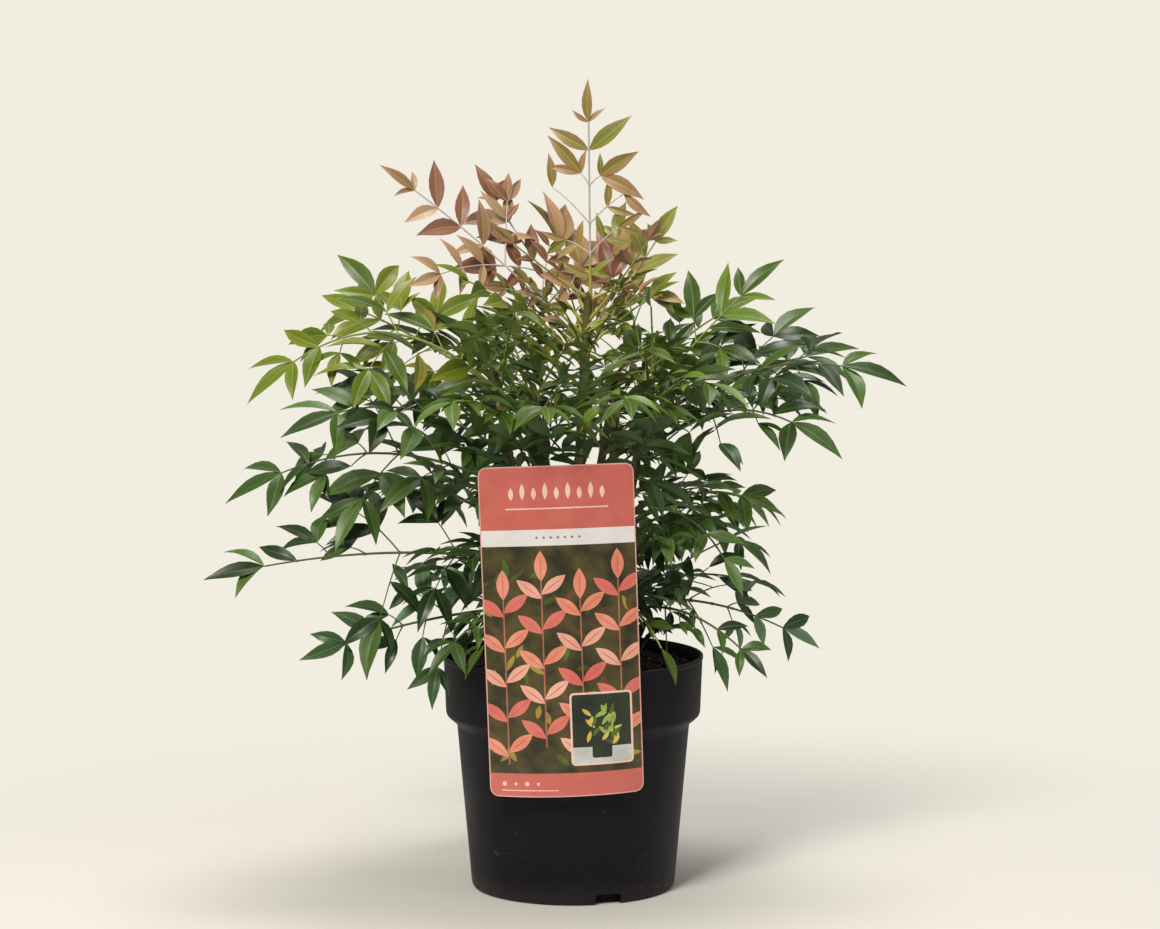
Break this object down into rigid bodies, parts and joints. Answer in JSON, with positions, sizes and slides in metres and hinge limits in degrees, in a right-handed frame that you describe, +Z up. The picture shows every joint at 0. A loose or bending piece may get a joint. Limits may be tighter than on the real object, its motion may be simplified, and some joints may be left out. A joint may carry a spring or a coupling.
{
  "type": "potted heavenly bamboo",
  "caption": "Bushy evergreen shrub with divided pointed leaves, pink at the top and green below, on upright canes in a round black nursery pot with a hanging care card.",
  "frame": {"origin": "centre of the pot's flat underside", "axes": "+Z up, front of the plant with the care card towards -Y, +X to the right"},
  "size_m": [0.5047, 0.4167, 0.589],
  "materials": {
    "pot_plastic": "matte black moulded polypropylene, lightly scuffed",
    "potting_soil": "dark moist peat and bark",
    "label_card": "printed plastic card",
    "cane_bark": "rough upright cane bark",
    "leaf_coral": "young coral pink leaf",
    "leaf_bronze": "young bronze leaf",
    "leaf_lime": "yellow-green leaf, satin",
    "leaf_green": "mid-green leaf, satin",
    "leaf_deep": "dark green leaf, satin",
    "leaf_blue": "blue-green leaf, satin"
  },
  "bodies": {
    "root": {"leaves_bronze_back": "leaf_bronze", "leaves_bronze_right": "leaf_bronze", "leaves_brow_1": "leaf_deep", "leaves_brow_2": "leaf_deep", "leaves_brow_3": "leaf_deep", "leaves_collar_1": "leaf_lime", "leaves_collar_2": "leaf_lime", "leaves_coral_centre": "leaf_coral", "leaves_coral_left": "leaf_coral", "leaves_coral_mid_left": "leaf_coral", "leaves_far_right": "leaf_deep", "leaves_front_1": "leaf_green", "leaves_front_2": "leaf_green", "leaves_front_3": "leaf_green", "leaves_front_4": "leaf_green", "leaves_front_left": "leaf_green", "leaves_high_1": "leaf_deep", "leaves_high_2": "leaf_deep", "leaves_high_3": "leaf_deep", "leaves_high_4": "leaf_deep", "leaves_left_bottom": "leaf_blue", "leaves_left_high": "leaf_green", "leaves_left_low": "leaf_deep", "leaves_left_mid": "leaf_deep", "leaves_lime_front": "leaf_lime", "leaves_lime_tip": "leaf_lime", "leaves_lime_upper": "leaf_lime", "leaves_low_1": "leaf_blue", "leaves_low_2": "leaf_blue", "leaves_low_3": "leaf_blue", "leaves_low_4": "leaf_blue", "leaves_middle_1": "leaf_deep", "leaves_middle_2": "leaf_deep", "leaves_middle_3": "leaf_deep", "leaves_middle_4": "leaf_deep", "leaves_right_bottom": "leaf_deep", "leaves_right_hanging": "leaf_deep", "leaves_right_high": "leaf_deep", "leaves_right_low": "leaf_blue", "leaves_right_lower": "leaf_green", "leaves_right_mid": "leaf_deep", "leaves_rim_left": "leaf_green", "leaves_rim_right": "leaf_green", "leaves_spire": "leaf_bronze", "leaves_upper_1": "leaf_green", "leaves_upper_2": "leaf_green", "leaves_upper_3": "leaf_green", "leaves_upper_4": "leaf_green", "leaves_upper_right": "leaf_green", "plant_label": "label_card", "pot": "pot_plastic", "soil": "potting_soil", "stem_1": "cane_bark", "stem_2": "cane_bark", "stem_3": "cane_bark", "stem_4": "cane_bark", "stem_5": "cane_bark", "stem_6": "cane_bark", "stem_leader": "cane_bark"}
  },
  "joints": []
}
